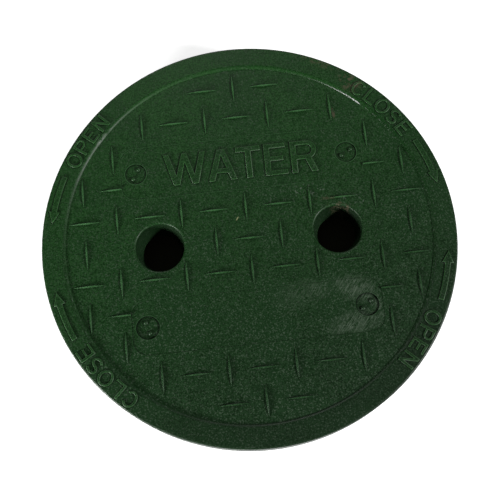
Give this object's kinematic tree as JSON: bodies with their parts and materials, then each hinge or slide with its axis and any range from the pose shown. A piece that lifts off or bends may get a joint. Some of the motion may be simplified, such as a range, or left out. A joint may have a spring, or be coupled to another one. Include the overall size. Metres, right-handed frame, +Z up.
{
  "type": "valve box cover",
  "caption": "Round twist-lock cover for a small valve box, with a diamond tread, two finger holes, a skirt and a ribbed underside.",
  "frame": {"origin": "centre of the foot of the lock ring, which the cover stands on", "axes": "+Z up out of the tread side, +X through both finger holes, +Y towards the word pad that reads upright from the front"},
  "size_m": [0.1618, 0.1618, 0.0254],
  "materials": {
    "cover_plastic": "matte dark green moulded plastic with a fine grain"
  },
  "bodies": {
    "root": {"cover": "cover_plastic"}
  },
  "joints": []
}
